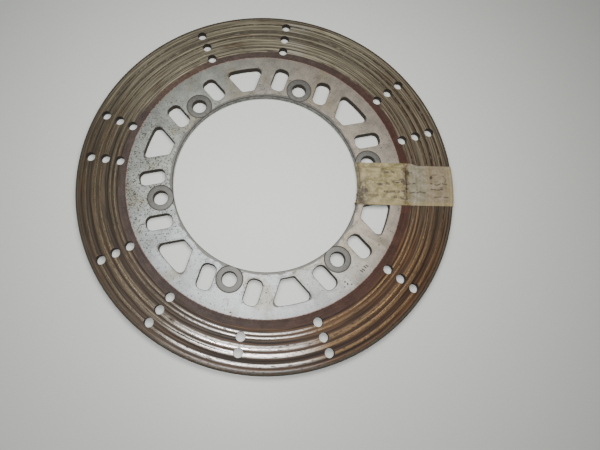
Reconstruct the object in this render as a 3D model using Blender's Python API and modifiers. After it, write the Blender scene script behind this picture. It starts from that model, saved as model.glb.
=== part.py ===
"""Motorcycle brake disc rotor: a one-piece steel disc with a taped-on paper label.

The disc lies flat with its underside on Z = 0 and its axis along +Z. Six bolt holes ring the
bore of the carrier, and drilled rows cross the friction band: eleven of three holes and one of
two. A paper label lies across the upper face under two overlapping strips of clear tape, whose
ends fold down over the rim and the bore. Units are metres.
"""
import bmesh
import bpy
from math import atan2, cos, pi, radians, sin, sqrt, tan
from mathutils import Matrix, Vector

# Plate
DISC_RADIUS = 0.1335
BORE_RADIUS = 0.066
THICKNESS = 0.005
EDGE_BREAK = 0.0004
DISC_STEPS = 96

# The pads have worn a shallow track into both faces
TRACK_INNER = 0.0995
TRACK_OUTER = 0.1323
TRACK_DEPTH = 0.00025
TRACK_SHOULDER = 0.0004

# Six bolts on one circle, seen from above and counted from +X towards +Y
BOLT_COUNT = 6
BOLT_CIRCLE = 0.075
BOLT_HOLE_RADIUS = 0.0051
BOLT_CHAMFER = 0.0004
BOLT_PHASE = radians(16.6)
BOLT_STEPS = 24

# A lightening slot on each side of every bolt hole, parallel to the hole's radial line
SLOT_OFFSET = 0.0165
SLOT_CENTRE = 0.0784
SLOT_WIDTH = 0.0104
SLOT_LENGTH = 0.0182
SLOT_CORNER = 0.0042

# A window halfway between bolt holes; its straight sides run parallel to the nearest slots
WINDOW_SIDE_OFFSET = 0.0315
WINDOW_INNER = 0.0712
WINDOW_OUTER = 0.0893
WINDOW_INNER_CORNER = 0.0026
WINDOW_OUTER_CORNER = 0.0036
WINDOW_ARC_PARTS = 3

# Slots and windows are punched a little ahead of the bolt pattern, furthest at DRIFT_ANGLE
OPENING_TURN = radians(0.42)
OPENING_DRIFT = radians(0.64)
DRIFT_ANGLE = radians(285)

# Drilled rows: angles in degrees past the first bolt hole, spaced unevenly against squeal.
# The short row's two holes sit on circles between those of the others.
DRILL_ROWS = (7, 26.75, 72, 102, 146.5, 161.75, 196.75, 221.5, 278.5, 312, 347)
DRILL_CIRCLES = (0.1048, 0.1153, 0.1259)
SHORT_ROW = 250.5
SHORT_ROW_CIRCLES = (0.1098, 0.1202)
DRILL_RADIUS = 0.00325
DRILL_STEPS = 16

# Paper label and the tape over it, laid nearly along one radius
LABEL_ANGLE = radians(5.0)
LABEL_SHIFT = -0.0015
LABEL_INNER = 0.0675
LABEL_OUTER = 0.1305
LABEL_WIDTH = 0.0245
LABEL_THICKNESS = 0.0002
TAPE_WIDTH = 0.031
TAPE_SKEW = 0.0003
TAPE_THICKNESS = 0.0003
TAPE_JOINT = 0.106
TAPE_FOOT = 0.001
TAPE_FOLD_STEPS = 8
CLEARANCE = 0.0003

CUT_MARGIN = 0.001
CORNER_STEPS = 4
WELD = 1e-5
SHARP_ANGLE = radians(35)

LABEL_BASE = THICKNESS + CLEARANCE
TAPE_BASE = LABEL_BASE + LABEL_THICKNESS + CLEARANCE
TAPE_TOP = TAPE_BASE + TAPE_THICKNESS


def clear_scene():
    for obj in list(bpy.data.objects):
        bpy.data.objects.remove(obj, do_unlink=True)


def new_collection(name):
    collection = bpy.data.collections.new(name)
    bpy.context.scene.collection.children.link(collection)
    return collection


def new_material(name, colour, roughness, metallic):
    material = bpy.data.materials.new(name)
    material.use_nodes = True
    shader = material.node_tree.nodes["Principled BSDF"]
    shader.inputs["Base Color"].default_value = (*colour, 1.0)
    shader.inputs["Roughness"].default_value = roughness
    shader.inputs["Metallic"].default_value = metallic
    return material


def bake(obj):
    """Turn an object's curve or modifiers into plain mesh data and weld its seams."""
    depsgraph = bpy.context.evaluated_depsgraph_get()
    mesh = bpy.data.meshes.new_from_object(obj.evaluated_get(depsgraph))
    collection = obj.users_collection[0]
    name = obj.name
    bpy.data.objects.remove(obj, do_unlink=True)
    solid = bpy.data.objects.new(name, mesh)
    collection.objects.link(solid)
    weld(solid)
    return solid


def weld(obj):
    bm = bmesh.new()
    bm.from_mesh(obj.data)
    bmesh.ops.remove_doubles(bm, verts=bm.verts, dist=WELD)
    bmesh.ops.recalc_face_normals(bm, faces=bm.faces)
    bm.to_mesh(obj.data)
    bm.free()


def turned(name, collection, profile, steps, closed):
    """Spin a profile of (radius, height) points about Z with a Screw modifier."""
    mesh = bpy.data.meshes.new(name)
    edges = [(i, i + 1) for i in range(len(profile) - 1)]
    if closed:
        edges.append((len(profile) - 1, 0))
    mesh.from_pydata([(radius, 0.0, height) for radius, height in profile], edges, [])
    obj = bpy.data.objects.new(name, mesh)
    collection.objects.link(obj)
    screw = obj.modifiers.new("Turn", "SCREW")
    screw.steps = steps
    screw.render_steps = steps
    screw.use_merge_vertices = True
    screw.merge_threshold = WELD
    return bake(obj)


def flat(name, collection, outline, low, high):
    """Extrude a closed outline of (x, y) points between two heights."""
    curve = bpy.data.curves.new(name, "CURVE")
    curve.dimensions = "2D"
    curve.fill_mode = "BOTH"
    curve.extrude = (high - low) / 2
    spline = curve.splines.new("POLY")
    spline.points.add(len(outline) - 1)
    for point, (x, y) in zip(spline.points, outline):
        point.co = (x, y, 0.0, 1.0)
    spline.use_cyclic_u = True
    obj = bpy.data.objects.new(name, curve)
    collection.objects.link(obj)
    solid = bake(obj)
    solid.data.transform(Matrix.Translation((0.0, 0.0, (low + high) / 2)))
    return solid


def rounded(corners):
    """Round each (point, radius) corner of a convex outline with an arc."""
    outline = []
    count = len(corners)
    for i, (corner, radius) in enumerate(corners):
        if radius == 0.0:
            outline.append(tuple(corner))
            continue
        before = (corners[i - 1][0] - corner).normalized()
        after = (corners[(i + 1) % count][0] - corner).normalized()
        half = before.angle(after) / 2
        centre = corner + (before + after).normalized() * radius / sin(half)
        start = corner + before * radius / tan(half) - centre
        sweep = (corner + after * radius / tan(half) - centre).angle_signed(start)
        for step in range(CORNER_STEPS + 1):
            arm = start.copy()
            arm.rotate(Matrix.Rotation(sweep * step / CORNER_STEPS, 2))
            outline.append(tuple(centre + arm))
    return outline


def repeated(template, placements):
    """Copy an object's mesh to every placement, as one object."""
    bm = bmesh.new()
    for placement in placements:
        mesh = template.data.copy()
        mesh.transform(placement)
        bm.from_mesh(mesh)
        bpy.data.meshes.remove(mesh)
    bm.to_mesh(template.data)
    bm.free()
    return as_cutter(template)


def as_cutter(obj):
    obj.hide_render = True
    obj.display_type = "WIRE"
    return obj


def move_to(collection, obj):
    obj.users_collection[0].objects.unlink(obj)
    collection.objects.link(obj)


def cut(target, cutter):
    boolean = target.modifiers.new("Cut", "BOOLEAN")
    boolean.operation = "DIFFERENCE"
    boolean.solver = "EXACT"
    boolean.object = cutter


def smooth(obj):
    for polygon in obj.data.polygons:
        polygon.use_smooth = True
    obj.data.set_sharp_from_angle(angle=SHARP_ANGLE)


def about_z(angle):
    return Matrix.Rotation(angle, 4, "Z")


def bolt_lines():
    """Angles of the bolt holes' radial lines."""
    return [BOLT_PHASE + i * 2 * pi / BOLT_COUNT for i in range(BOLT_COUNT)]


def opening_turns(place, drawn_at):
    """Rotations that carry an opening from where it is drawn to a place past each bolt line."""
    turns = []
    for line in bolt_lines():
        even = line + place
        drift = OPENING_TURN + OPENING_DRIFT * cos(even - DRIFT_ANGLE)
        turns.append(about_z(even + drift - drawn_at))
    return turns


def bolt_holes(cutters):
    mouth = BOLT_HOLE_RADIUS + BOLT_CHAMFER + CUT_MARGIN
    profile = [
        (0.0, THICKNESS + CUT_MARGIN),
        (mouth, THICKNESS + CUT_MARGIN),
        (BOLT_HOLE_RADIUS, THICKNESS - BOLT_CHAMFER),
        (BOLT_HOLE_RADIUS, BOLT_CHAMFER),
        (mouth, -CUT_MARGIN),
        (0.0, -CUT_MARGIN),
    ]
    hole = turned("bolt_holes", cutters, profile, BOLT_STEPS, closed=False)
    centre = Matrix.Translation((BOLT_CIRCLE, 0.0, 0.0))
    return repeated(hole, [about_z(line) @ centre for line in bolt_lines()])


def slots(cutters):
    corners = []
    for along, across in ((-1, -1), (1, -1), (1, 1), (-1, 1)):
        corner = Vector((along * SLOT_LENGTH / 2, across * SLOT_WIDTH / 2))
        corners.append((corner, SLOT_CORNER))
    slot = flat("slots", cutters, rounded(corners), -CUT_MARGIN, THICKNESS + CUT_MARGIN)
    placements = []
    for side in (-1, 1):
        centre = Matrix.Translation((SLOT_CENTRE, side * SLOT_OFFSET, 0.0))
        place = side * atan2(SLOT_OFFSET, SLOT_CENTRE)
        placements += [turn @ centre for turn in opening_turns(place, drawn_at=place)]
    return repeated(slot, placements)


def window_corner(radius, side):
    """Where a window's straight side meets a circle about the disc's axis."""
    half_pitch = pi / BOLT_COUNT
    reach = sqrt(radius**2 - WINDOW_SIDE_OFFSET**2)
    along = reach * cos(half_pitch) + WINDOW_SIDE_OFFSET * sin(half_pitch)
    across = reach * sin(half_pitch) - WINDOW_SIDE_OFFSET * cos(half_pitch)
    return Vector((along, side * across))


def windows(cutters):
    first = window_corner(WINDOW_OUTER, -1)
    last = window_corner(WINDOW_OUTER, 1)
    corners = [
        (window_corner(WINDOW_INNER, -1), WINDOW_INNER_CORNER),
        (first, WINDOW_OUTER_CORNER),
    ]
    sweep = last.angle_signed(first)
    for i in range(1, WINDOW_ARC_PARTS):
        point = first.copy()
        point.rotate(Matrix.Rotation(sweep * i / WINDOW_ARC_PARTS, 2))
        corners.append((point, 0.0))
    corners.append((last, WINDOW_OUTER_CORNER))
    corners.append((window_corner(WINDOW_INNER, 1), WINDOW_INNER_CORNER))
    window = flat("windows", cutters, rounded(corners), -CUT_MARGIN, THICKNESS + CUT_MARGIN)
    return repeated(window, opening_turns(pi / BOLT_COUNT, drawn_at=0.0))


def drilled_holes(cutters):
    bpy.ops.mesh.primitive_cylinder_add(
        vertices=DRILL_STEPS,
        radius=DRILL_RADIUS,
        depth=THICKNESS + 2 * CUT_MARGIN,
    )
    hole = bpy.context.object
    hole.name = "drilled_holes"
    move_to(cutters, hole)
    rows = [(row, DRILL_CIRCLES) for row in DRILL_ROWS]
    rows.append((SHORT_ROW, SHORT_ROW_CIRCLES))
    placements = []
    for row, circles in rows:
        for radius in circles:
            centre = Matrix.Translation((radius, 0.0, THICKNESS / 2))
            placements.append(about_z(BOLT_PHASE + radians(row)) @ centre)
    return repeated(hole, placements)


def rotor_disc(parts, cutters):
    """The plate: a turned ring with a worn track in each face, then every hole cut through it."""
    face = [
        (DISC_RADIUS - EDGE_BREAK, 0.0),
        (TRACK_OUTER, 0.0),
        (TRACK_OUTER - TRACK_SHOULDER, TRACK_DEPTH),
        (TRACK_INNER + TRACK_SHOULDER, TRACK_DEPTH),
        (TRACK_INNER, 0.0),
        (BORE_RADIUS + EDGE_BREAK, 0.0),
    ]
    rim = [(DISC_RADIUS, THICKNESS - EDGE_BREAK), (DISC_RADIUS, EDGE_BREAK)]
    bore = [(BORE_RADIUS, EDGE_BREAK), (BORE_RADIUS, THICKNESS - EDGE_BREAK)]
    top = [(radius, THICKNESS - height) for radius, height in reversed(face)]
    disc = turned("rotor_disc", parts, rim + face + bore + top, DISC_STEPS, closed=True)
    for cutter in (bolt_holes(cutters), slots(cutters), windows(cutters), drilled_holes(cutters)):
        cut(disc, cutter)
    disc = bake(disc)
    smooth(disc)
    disc.data.materials.append(new_material("worn_steel", (0.36, 0.31, 0.26), 0.45, 0.85))
    return disc


def paper_label(parts):
    bpy.ops.mesh.primitive_cube_add(size=1.0)
    label = bpy.context.object
    label.name = "paper_label"
    move_to(parts, label)
    size = Matrix.Diagonal((LABEL_OUTER - LABEL_INNER, LABEL_WIDTH, LABEL_THICKNESS, 1.0))
    middle = ((LABEL_INNER + LABEL_OUTER) / 2, LABEL_SHIFT, LABEL_BASE + LABEL_THICKNESS / 2)
    label.data.transform(Matrix.Translation(middle) @ size)
    label.data.materials.append(new_material("aged_paper", (0.52, 0.46, 0.29), 0.85, 0.0))
    return label


def label_space(cutters):
    """The room that the tape goes round: the disc, the label and the gap about them."""
    inner = BORE_RADIUS - CLEARANCE
    outer = DISC_RADIUS + CLEARANCE
    profile = [(outer, TAPE_BASE), (outer, -CUT_MARGIN), (inner, -CUT_MARGIN), (inner, TAPE_BASE)]
    return as_cutter(turned("label_space", cutters, profile, DISC_STEPS, closed=True))


def tape_strip(name, parts, space, fold_radius, straight_end, skew):
    """A strip from a fold on one of the disc's edges to a straight end on its upper face."""
    fold = []
    for step in range(TAPE_FOLD_STEPS + 1):
        across = LABEL_SHIFT + skew + TAPE_WIDTH * (step / TAPE_FOLD_STEPS - 0.5)
        fold.append((sqrt(fold_radius**2 - across**2), across))
    outline = fold + [(straight_end, fold[-1][1]), (straight_end, fold[0][1])]
    strip = flat(name, parts, outline, TAPE_FOOT, TAPE_TOP)
    cut(strip, space)
    strip = bake(strip)
    strip.data.materials.append(new_material(name + "_film", (0.50, 0.43, 0.28), 0.35, 0.0))
    return strip


def main():
    clear_scene()
    parts = new_collection("brake_disc_rotor")
    cutters = new_collection("rotor_cutters")
    root = bpy.data.objects.new("rotor_axis", None)
    parts.objects.link(root)

    disc = rotor_disc(parts, cutters)
    label = paper_label(parts)
    space = label_space(cutters)
    bore_fold = BORE_RADIUS - CLEARANCE - TAPE_THICKNESS
    rim_fold = DISC_RADIUS + CLEARANCE + TAPE_THICKNESS
    joint = (TAPE_JOINT, TAPE_JOINT + CLEARANCE)
    inner = tape_strip("tape_inner_strip", parts, space, bore_fold, joint[0], TAPE_SKEW)
    outer = tape_strip("tape_outer_strip", parts, space, rim_fold, joint[1], -TAPE_SKEW)

    for piece in (label, inner, outer):
        piece.rotation_euler.z = LABEL_ANGLE
    for piece in (disc, label, inner, outer):
        piece.parent = root


main()
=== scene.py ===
"""Looks for the brake disc rotor: a worn steel disc with a paper label taped across it.

The disc lies flat with its axis on Z. Sizes are in metres and angles run from +X towards +Y.
"""

import random
from collections import namedtuple
from math import atan2, cos, pi, radians, sin, sqrt, tan

import bmesh
import bpy
from mathutils import Matrix, Vector, noise


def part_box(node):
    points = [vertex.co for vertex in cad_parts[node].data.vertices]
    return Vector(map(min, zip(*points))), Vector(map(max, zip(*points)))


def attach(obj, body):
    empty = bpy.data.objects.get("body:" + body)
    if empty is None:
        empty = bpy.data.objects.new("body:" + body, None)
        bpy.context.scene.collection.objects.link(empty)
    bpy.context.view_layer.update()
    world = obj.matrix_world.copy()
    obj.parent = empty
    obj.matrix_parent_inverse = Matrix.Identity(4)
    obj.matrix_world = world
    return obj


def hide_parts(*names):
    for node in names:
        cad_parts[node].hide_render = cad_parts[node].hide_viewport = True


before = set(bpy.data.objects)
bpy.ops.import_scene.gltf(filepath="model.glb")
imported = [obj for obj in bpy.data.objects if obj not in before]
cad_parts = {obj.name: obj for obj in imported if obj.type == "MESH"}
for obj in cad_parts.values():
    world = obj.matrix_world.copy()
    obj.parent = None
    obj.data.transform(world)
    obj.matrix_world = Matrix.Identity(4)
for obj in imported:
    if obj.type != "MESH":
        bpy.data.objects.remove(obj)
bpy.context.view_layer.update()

# Plate, as the frame gives it
_, PLATE_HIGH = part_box("rotor_disc")
DISC_RADIUS = PLATE_HIGH.x
THICKNESS = PLATE_HIGH.z
BORE_RADIUS = 0.066
EDGE_BREAK = 0.0004
DISC_STEPS = 288

# The face's section from the track's inner edge to the rim: (radius, height below the face).
# Pads have scored rings into it: the crests are polished and the valleys hold rust.
# Inside the first valley the pads only brush the face.
RIDGES = (
    (0.0994, 0.0),
    (0.1000, -0.00014),
    (0.1014, -0.00017),
    (0.1030, -0.00028),
    (0.1055, -0.00029),
    (0.1070, -0.00014),
    (0.1083, -0.00028),
    (0.1098, -0.00015),
    (0.1110, -0.00027),
    (0.1118, -0.00024),
    (0.1137, -0.00029),
    (0.1152, -0.00017),
    (0.1160, -0.00019),
    (0.1172, -0.00014),
    (0.1188, -0.00029),
    (0.1202, -0.00015),
    (0.1214, -0.00016),
    (0.1222, -0.00018),
    (0.1233, -0.00029),
    (0.1253, -0.00029),
    (0.1267, -0.00016),
    (0.1276, -0.00015),
    (0.1292, -0.00029),
    (0.1307, -0.00019),
    (0.1317, -0.00024),
    (0.1325, 0.0),
)
RIDGE_STEP = 0.00035

# Six bolts on one circle, each with a shallow seat that its flange has worn
BOLT_COUNT = 6
BOLT_PITCH = 2 * pi / BOLT_COUNT
BOLT_CIRCLE = 0.075
BOLT_HOLE_RADIUS = 0.0051
BOLT_CHAMFER = 0.0004
BOLT_PHASE = radians(16.6)
BOLT_STEPS = 64
SEAT_RADIUS = 0.0092
SEAT_DEPTH = 0.00006
SEAT_GROOVE = 0.00012
SEAT_GROOVE_WALL = 0.00012
SEAT_GROOVE_WIDTH = 0.0004

# A slot on each side of every bolt hole, parallel to the hole's radial line
SLOT_OFFSET = 0.0165
SLOT_CENTRE = 0.0784
SLOT_WIDTH = 0.0104
SLOT_LENGTH = 0.0182
SLOT_CORNER = 0.0042

# A window halfway between bolt holes; its straight sides run parallel to the nearest slots
WINDOW_SIDE_OFFSET = 0.0315
WINDOW_INNER = 0.0712
WINDOW_OUTER = 0.0893
WINDOW_INNER_CORNER = 0.0026
WINDOW_OUTER_CORNER = 0.0036
WINDOW_ARC_PARTS = 5

# Slots and windows are punched a little ahead of the bolt pattern, furthest at DRIFT_ANGLE
OPENING_TURN = radians(0.42)
OPENING_DRIFT = radians(0.64)
DRIFT_ANGLE = radians(285)

# Drilled rows: degrees past the first bolt hole. The short row has two holes, on its own circles.
DRILL_ROWS = (7, 26.75, 72, 102, 146.5, 161.75, 196.75, 221.5, 278.5, 312, 347)
DRILL_CIRCLES = (0.1048, 0.1153, 0.1259)
SHORT_ROW = 250.5
SHORT_ROW_CIRCLES = (0.1098, 0.1202)
DRILL_RADIUS = 0.00325
DRILL_STEPS = 40

# Punch marks in the carrier's face: (radius, degrees, turn in degrees, length)
PUNCH_MARKS = (
    (0.0918, 320.9, 8, 0.0024),
    (0.0921, 321.9, 12, 0.0024),
    (0.0917, 323.2, 6, 0.0022),
    (0.0922, 324.2, 10, 0.0022),
    (0.0898, 312.3, -40, 0.0012),
    (0.0921, 312.6, -20, 0.0018),
    (0.0938, 313.9, 35, 0.0012),
    (0.0925, 310.9, 60, 0.0010),
    (0.0908, 335.0, 0, 0.0010),
)
PUNCH_WIDTH = 0.0008
PUNCH_DEPTH = 0.00012

HOLE_CHAMFER = 0.0003
CUT_MARGIN = 0.001
CORNER_STEPS = 8
WELD = 1e-6
SHARP_ANGLE = radians(28)

# Paint covers the carrier and stops just inside the track
PAINT_RADIUS = 0.0977
PAINT_CENTRE = Vector((-0.0007, 0.0001, 0.0))
PAINT_INNER = 0.0678

# Rings where one look gives way to the next: (first radius, last radius)
BRUSHED_EDGE = (0.1030, 0.1046)
LIP_EDGE = (0.1316, 0.1322)
BORE_WALL = (0.0664, 0.0662)
RIM_WALL = (0.1329, 0.1331)
CARRIER_EDGE = (0.0995, 0.0990)

# Label: x runs outwards along it and y across it
LABEL_ANGLE = radians(5.0)
PAPER_NEAR = Vector((0.0695, -0.0136))
PAPER_FAR = Vector((0.1290, 0.0112))
PAPER_THICKNESS = 0.00012
PAPER_STEP = 0.0005
PAPER_RAMP = 0.0012
CREASE = 0.0996
CREASE_HEIGHT = 0.00022
CREASE_WIDTH = 0.0004
SHEET_GAP = 0.00005
SHEET_SAG = 0.8
FILM = 0.00010
FILM_STEP = 0.0004
FILM_FOOT = 0.001
FILM_BEND = 0.0005
LOWER_STRIP = 0.00008
UPPER_STRIP = 0.00024
OUTER_START = 0.1335
STRIP_START = 0.0975
STRIP_END = 0.1129
STRIP_CUT = 0.1035
STRIP_CUT_SLOPE = 0.33
INNER_EDGES = (-0.0165, 0.0150)
OUTER_EDGES = (-0.0164, 0.0134)
BORE_FOLD = BORE_RADIUS - 0.00035
FOLD_DIRT = BORE_RADIUS + 0.0009
RIM_FOLD = DISC_RADIUS + 0.00035

# Dirt on the tape: (x, y, half width, half height, strength)
TAPE_STAINS = (
    (0.1010, 0.0082, 0.0019, 0.0024, 0.80),
    (0.0985, 0.0105, 0.0022, 0.0012, 0.35),
    (0.1003, 0.0030, 0.0011, 0.0040, 0.60),
    (0.0985, -0.0009, 0.0006, 0.0006, 1.0),
    (0.1003, -0.0009, 0.0006, 0.0006, 1.0),
    (0.0988, -0.0085, 0.0010, 0.0030, 0.45),
    (0.0703, -0.0062, 0.0026, 0.0020, 0.90),
    (0.0670, -0.0130, 0.0022, 0.0020, 0.90),
    (0.0685, -0.0098, 0.0016, 0.0012, 0.60),
    (0.0755, -0.0098, 0.0045, 0.0012, 0.40),
    (0.0835, 0.0092, 0.0016, 0.0022, 0.45),
    (0.0820, 0.0040, 0.0012, 0.0020, 0.20),
    (0.0780, 0.0122, 0.0060, 0.0005, 0.40),
    (0.1182, 0.0045, 0.0012, 0.0014, 0.90),
    (0.1255, -0.0032, 0.0014, 0.0014, 0.50),
    (0.1040, 0.0080, 0.0012, 0.0010, 0.35),
    (0.1130, -0.0068, 0.0012, 0.0006, 0.45),
)

# Rows of scribble: (start, end, height on the label, size), then single strokes
PEN_ROWS = (
    (0.0845, 0.0925, 0.0080, 0.0018),
    (0.0795, 0.0885, -0.0012, 0.0020),
    (0.0900, 0.0975, 0.0008, 0.0012),
    (0.0835, 0.0975, -0.0063, 0.0016),
    (0.0955, 0.0985, 0.0030, 0.0014),
    (0.0893, 0.0955, -0.0108, 0.0020),
    (0.0960, 0.0992, -0.0118, 0.0010),
    (0.1012, 0.1060, -0.0002, 0.0011),
    (0.1020, 0.1120, -0.0069, 0.0009),
    (0.1175, 0.1262, -0.0002, 0.0006),
    (0.1175, 0.1255, -0.0042, 0.0009),
    (0.1195, 0.1262, -0.0095, 0.0006),
)
PEN_CURVES = (
    (
        (0.1178, 0.0040),
        (0.1180, 0.0055),
        (0.1188, 0.0063),
        (0.1200, 0.0067),
        (0.1215, 0.0066),
        (0.1226, 0.0068),
    ),
    ((0.1262, 0.0062), (0.1275, 0.0055), (0.1284, 0.0040), (0.1286, 0.0022), (0.1278, 0.0012)),
    ((0.0895, 0.0014), (0.0920, 0.0018), (0.0945, 0.0017), (0.0960, 0.0022)),
)
PEN_WIDTH = 0.00038

# Scraps at the bore fold: (place along it, how far they stand out, height)
TORN_BITS = ((-0.0092, 0.0011, 0.0043), (-0.0132, 0.0008, 0.0038), (-0.0158, 0.0013, 0.0045))


# ---------------------------------------------------------------- mesh helpers


def link(obj):
    bpy.context.scene.collection.objects.link(obj)
    return obj


def mesh_object(name, bm):
    mesh = bpy.data.meshes.new(name)
    bm.to_mesh(mesh)
    bm.free()
    return link(bpy.data.objects.new(name, mesh))


def applied(obj):
    """Turn an object's modifiers into plain mesh data."""
    depsgraph = bpy.context.evaluated_depsgraph_get()
    mesh = bpy.data.meshes.new_from_object(obj.evaluated_get(depsgraph))
    obj.modifiers.clear()
    obj.data = mesh
    return obj


def turned(name, profile, steps, closed):
    """Spin a profile of (radius, height) points about Z."""
    mesh = bpy.data.meshes.new(name)
    edges = [(i, i + 1) for i in range(len(profile) - 1)]
    if closed:
        edges.append((len(profile) - 1, 0))
    mesh.from_pydata([(radius, 0.0, height) for radius, height in profile], edges, [])
    obj = link(bpy.data.objects.new(name, mesh))
    screw = obj.modifiers.new("Turn", "SCREW")
    screw.steps = steps
    screw.render_steps = steps
    screw.use_merge_vertices = True
    screw.merge_threshold = WELD
    applied(obj)
    bm = bmesh.new()
    bm.from_mesh(obj.data)
    bmesh.ops.remove_doubles(bm, verts=bm.verts, dist=WELD)
    bmesh.ops.recalc_face_normals(bm, faces=bm.faces)
    bm.to_mesh(obj.data)
    bm.free()
    return obj


def circle(radius, steps):
    return [Vector((radius * cos(a), radius * sin(a))) for a in arc_angles(steps)]


def arc_angles(steps):
    return [2 * pi * i / steps for i in range(steps)]


def rounded(corners):
    """Round each (point, radius) corner of a convex outline with an arc."""
    outline = []
    count = len(corners)
    for i, (corner, radius) in enumerate(corners):
        if radius == 0.0:
            outline.append(corner.copy())
            continue
        before = (corners[i - 1][0] - corner).normalized()
        after = (corners[(i + 1) % count][0] - corner).normalized()
        half = before.angle(after) / 2
        centre = corner + (before + after).normalized() * radius / sin(half)
        start = corner + before * radius / tan(half) - centre
        sweep = (corner + after * radius / tan(half) - centre).angle_signed(start)
        for step in range(CORNER_STEPS + 1):
            arm = start.copy()
            arm.rotate(Matrix.Rotation(sweep * step / CORNER_STEPS, 2))
            outline.append(centre + arm)
    return outline


def grown(outline, amount):
    """Move each point of a convex, counter-clockwise outline outwards."""
    moved = []
    count = len(outline)
    for i, point in enumerate(outline):
        along = (outline[(i + 1) % count] - outline[i - 1]).normalized()
        moved.append(point + Vector((along.y, -along.x)) * amount)
    return moved


def through_cutter(name, outline, chamfer):
    """A cutter that runs through the plate and breaks the edges of both mouths."""
    flare = chamfer + CUT_MARGIN
    levels = (
        (-CUT_MARGIN, flare),
        (chamfer, 0.0),
        (THICKNESS - chamfer, 0.0),
        (THICKNESS + CUT_MARGIN, flare),
    )
    bm = bmesh.new()
    rings = []
    for height, amount in levels:
        ring = [bm.verts.new((*point, height)) for point in grown(outline, amount)]
        rings.append(ring)
    count = len(outline)
    for low, high in zip(rings, rings[1:]):
        for i in range(count):
            j = (i + 1) % count
            bm.faces.new((low[i], low[j], high[j], high[i]))
    bm.faces.new(reversed(rings[0]))
    bm.faces.new(rings[-1])
    return mesh_object(name, bm)


def repeated(template, placements):
    """Copy an object's mesh to every placement, as one object."""
    bm = bmesh.new()
    for placement in placements:
        mesh = template.data.copy()
        mesh.transform(placement)
        bm.from_mesh(mesh)
        bpy.data.meshes.remove(mesh)
    bm.to_mesh(template.data)
    bm.free()
    return template


def cut(target, cutter):
    boolean = target.modifiers.new("Cut", "BOOLEAN")
    boolean.operation = "DIFFERENCE"
    boolean.solver = "EXACT"
    boolean.object = cutter
    applied(target)
    bpy.data.objects.remove(cutter, do_unlink=True)


def smooth(obj):
    for polygon in obj.data.polygons:
        polygon.use_smooth = True
    obj.data.set_sharp_from_angle(angle=SHARP_ANGLE)


def eased(t):
    return t * t * (3 - 2 * t)


def about_z(angle):
    return Matrix.Rotation(angle, 4, "Z")


def bolt_lines():
    return [BOLT_PHASE + i * BOLT_PITCH for i in range(BOLT_COUNT)]


def opening_turns(place, drawn_at):
    """Rotations that carry an opening from where it is drawn to a place past each bolt line."""
    turns = []
    for line in bolt_lines():
        even = line + place
        drift = OPENING_TURN + OPENING_DRIFT * cos(even - DRIFT_ANGLE)
        turns.append(about_z(even + drift - drawn_at))
    return turns


# ---------------------------------------------------------------- plate


def relief(radius):
    """Height of the worn face at a radius, relative to the unworn face."""
    if radius <= RIDGES[0][0] or radius >= RIDGES[-1][0]:
        return 0.0
    for (r0, h0), (r1, h1) in zip(RIDGES, RIDGES[1:]):
        if radius <= r1:
            return h0 + (h1 - h0) * eased((radius - r0) / (r1 - r0))
    return 0.0


def face_profile():
    """(radius, height) points of the upper face, from the bore to the rim."""
    points = [(BORE_RADIUS + EDGE_BREAK, THICKNESS)]
    start, end = RIDGES[0][0], RIDGES[-1][0]
    count = round((end - start) / RIDGE_STEP)
    for i in range(count + 1):
        radius = start + (end - start) * i / count
        points.append((radius, THICKNESS + relief(radius)))
    points.append((DISC_RADIUS - EDGE_BREAK, THICKNESS))
    return points


def bolt_hole_cutter():
    mouth = BOLT_HOLE_RADIUS + BOLT_CHAMFER
    seat = THICKNESS - SEAT_DEPTH
    over = THICKNESS + CUT_MARGIN
    profile = [
        (0.0, over),
        (SEAT_RADIUS + CUT_MARGIN / 4, over),
        (SEAT_RADIUS, THICKNESS),
        (SEAT_RADIUS - SEAT_GROOVE_WALL, THICKNESS - SEAT_GROOVE),
        (SEAT_RADIUS - SEAT_GROOVE_WIDTH, seat),
        (mouth, seat),
        (BOLT_HOLE_RADIUS, seat - BOLT_CHAMFER),
        (BOLT_HOLE_RADIUS, BOLT_CHAMFER),
        (mouth + CUT_MARGIN, -CUT_MARGIN),
        (0.0, -CUT_MARGIN),
    ]
    hole = turned("bolt_holes", profile, BOLT_STEPS, closed=False)
    centre = Matrix.Translation((BOLT_CIRCLE, 0.0, 0.0))
    return repeated(hole, [about_z(line) @ centre for line in bolt_lines()])


def slot_cutter():
    corners = []
    for along, across in ((-1, -1), (1, -1), (1, 1), (-1, 1)):
        corner = Vector((along * SLOT_LENGTH / 2, across * SLOT_WIDTH / 2))
        corners.append((corner, SLOT_CORNER))
    slot = through_cutter("slots", rounded(corners), HOLE_CHAMFER)
    placements = []
    for side in (-1, 1):
        centre = Matrix.Translation((SLOT_CENTRE, side * SLOT_OFFSET, 0.0))
        place = side * atan2(SLOT_OFFSET, SLOT_CENTRE)
        placements += [turn @ centre for turn in opening_turns(place, drawn_at=place)]
    return repeated(slot, placements)


def window_corner(radius, side):
    """Where a window's straight side meets a circle about the disc's axis."""
    half_pitch = BOLT_PITCH / 2
    reach = sqrt(radius**2 - WINDOW_SIDE_OFFSET**2)
    along = reach * cos(half_pitch) + WINDOW_SIDE_OFFSET * sin(half_pitch)
    across = reach * sin(half_pitch) - WINDOW_SIDE_OFFSET * cos(half_pitch)
    return Vector((along, side * across))


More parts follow.
